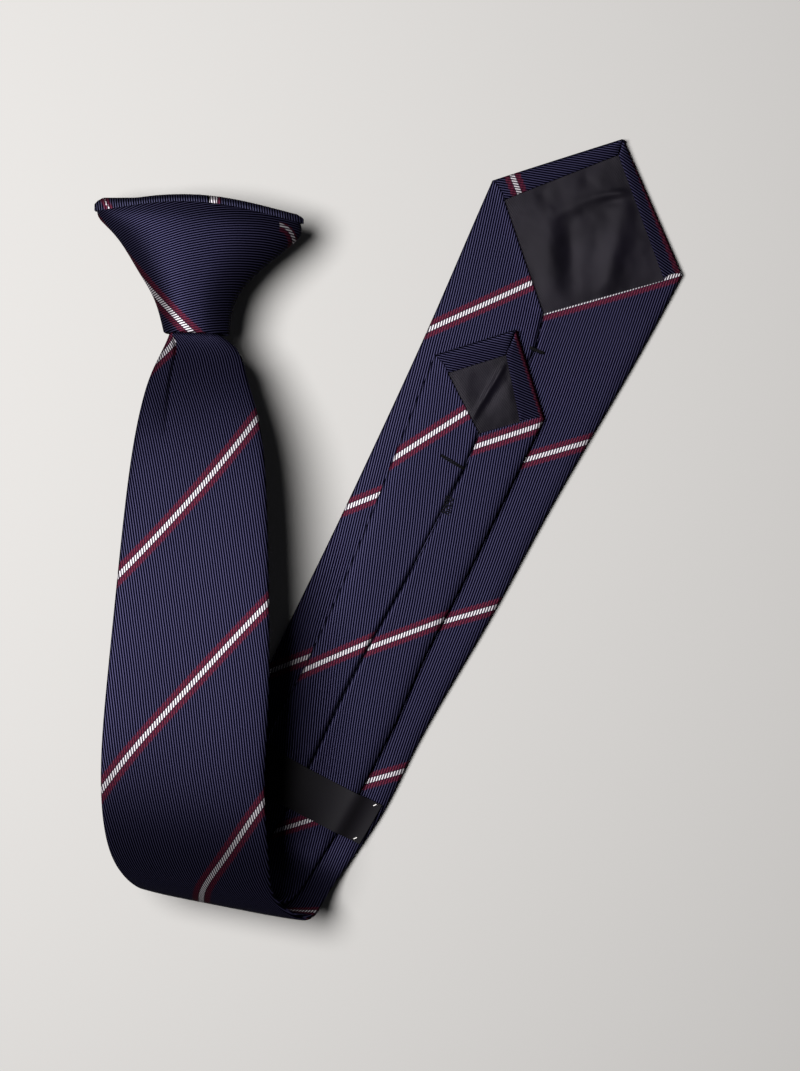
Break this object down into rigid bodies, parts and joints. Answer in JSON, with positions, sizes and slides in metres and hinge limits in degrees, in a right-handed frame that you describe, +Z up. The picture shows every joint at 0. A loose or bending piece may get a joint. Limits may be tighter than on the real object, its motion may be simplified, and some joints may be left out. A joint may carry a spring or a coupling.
{
  "type": "clip-on tie",
  "caption": "Striped cloth tie with a ready-made knot, a wide blade folded back over itself, a narrow tail behind it and a collar clip hidden under the knot.",
  "frame": {"origin": "on the table, under the middle of the whole laid-down tie", "axes": "+Z up from the table; +Y from the fold toward the knot and the wide tip; +X from the knot's side toward the wide tip's side"},
  "size_m": [0.196, 0.2601, 0.0466],
  "materials": {
    "navy_rib_cloth": "ribbed silk weave, navy with burgundy-edged white stripes",
    "black_satin": "satin lining",
    "black_label": "bare woven label",
    "clip_steel": "bent strip, plain"
  },
  "bodies": {
    "root": {"front_blade": "navy_rib_cloth", "tail_blade": "navy_rib_cloth", "blade_tip_lining": "black_satin", "tail_tip_lining": "black_satin", "keeper_label": "black_label", "knot_wrap": "navy_rib_cloth", "knot_roll_left": "navy_rib_cloth", "knot_roll_right": "navy_rib_cloth", "collar_clip": "clip_steel"}
  },
  "joints": []
}
